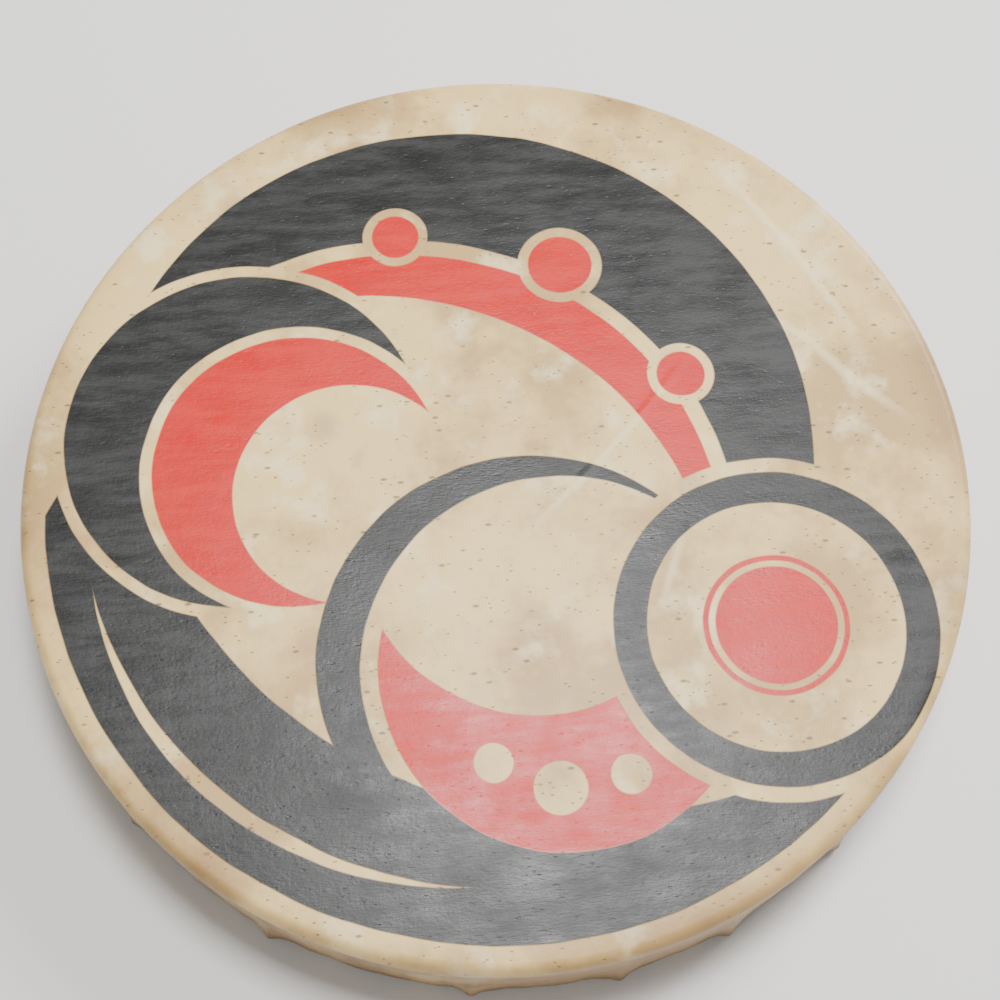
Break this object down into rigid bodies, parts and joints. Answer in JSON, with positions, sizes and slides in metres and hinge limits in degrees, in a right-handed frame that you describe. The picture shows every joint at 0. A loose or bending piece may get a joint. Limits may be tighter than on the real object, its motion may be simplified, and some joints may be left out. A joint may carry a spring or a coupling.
{
  "type": "frame drum",
  "caption": "Shallow round hand drum: a laced rawhide head painted in black and red over a bent-wood hoop, with a cross-shaped lacing handle gripped from behind.",
  "frame": {"origin": "middle of the plane that the laced back edge rests on", "axes": "+Z out of the head, along the drum's axis; +X to the right and +Y away from a viewer who sees the painted head the right way up"},
  "size_m": [0.4116, 0.4111, 0.062],
  "materials": {
    "bent_wood": "steam-bent cedar strip, sanded and oiled",
    "peg_wood": "whittled hardwood pegs, cut flush",
    "painted_rawhide": "dried translucent rawhide with a matte black and red painted motif",
    "rawhide_lace": "twisted dried rawhide lace",
    "ring_rawhide": "hard twisted rawhide",
    "wrap_leather": "soft brown leather thong, wound tight",
    "sinew": "waxed sinew thread"
  },
  "bodies": {
    "root": {"hoop": "bent_wood", "scarf_pegs": "peg_wood", "rawhide_head": "painted_rawhide", "lace_01": "rawhide_lace", "lace_02": "rawhide_lace", "lace_03": "rawhide_lace", "lace_04": "rawhide_lace", "lace_05": "rawhide_lace", "lace_06": "rawhide_lace", "lace_07": "rawhide_lace", "lace_08": "rawhide_lace", "lace_09": "rawhide_lace", "lace_10": "rawhide_lace", "lace_11": "rawhide_lace", "lace_12": "rawhide_lace", "lace_13": "rawhide_lace", "lace_14": "rawhide_lace", "lace_15": "rawhide_lace", "lace_16": "rawhide_lace", "lace_17": "rawhide_lace", "lace_18": "rawhide_lace", "lace_19": "rawhide_lace", "lace_20": "rawhide_lace", "lace_start_knot": "rawhide_lace", "lace_end_knot": "rawhide_lace", "handle_ring": "ring_rawhide", "ring_wrap_1": "wrap_leather", "ring_wrap_2": "wrap_leather", "ring_wrap_3": "wrap_leather", "ring_wrap_4": "wrap_leather", "grip_wrap_1": "wrap_leather", "grip_wrap_2": "wrap_leather", "grip_wrap_3": "wrap_leather", "grip_wrap_4": "wrap_leather", "lashing_1": "sinew", "lashing_2": "sinew", "lashing_3": "sinew", "lashing_4": "sinew"}
  },
  "joints": []
}
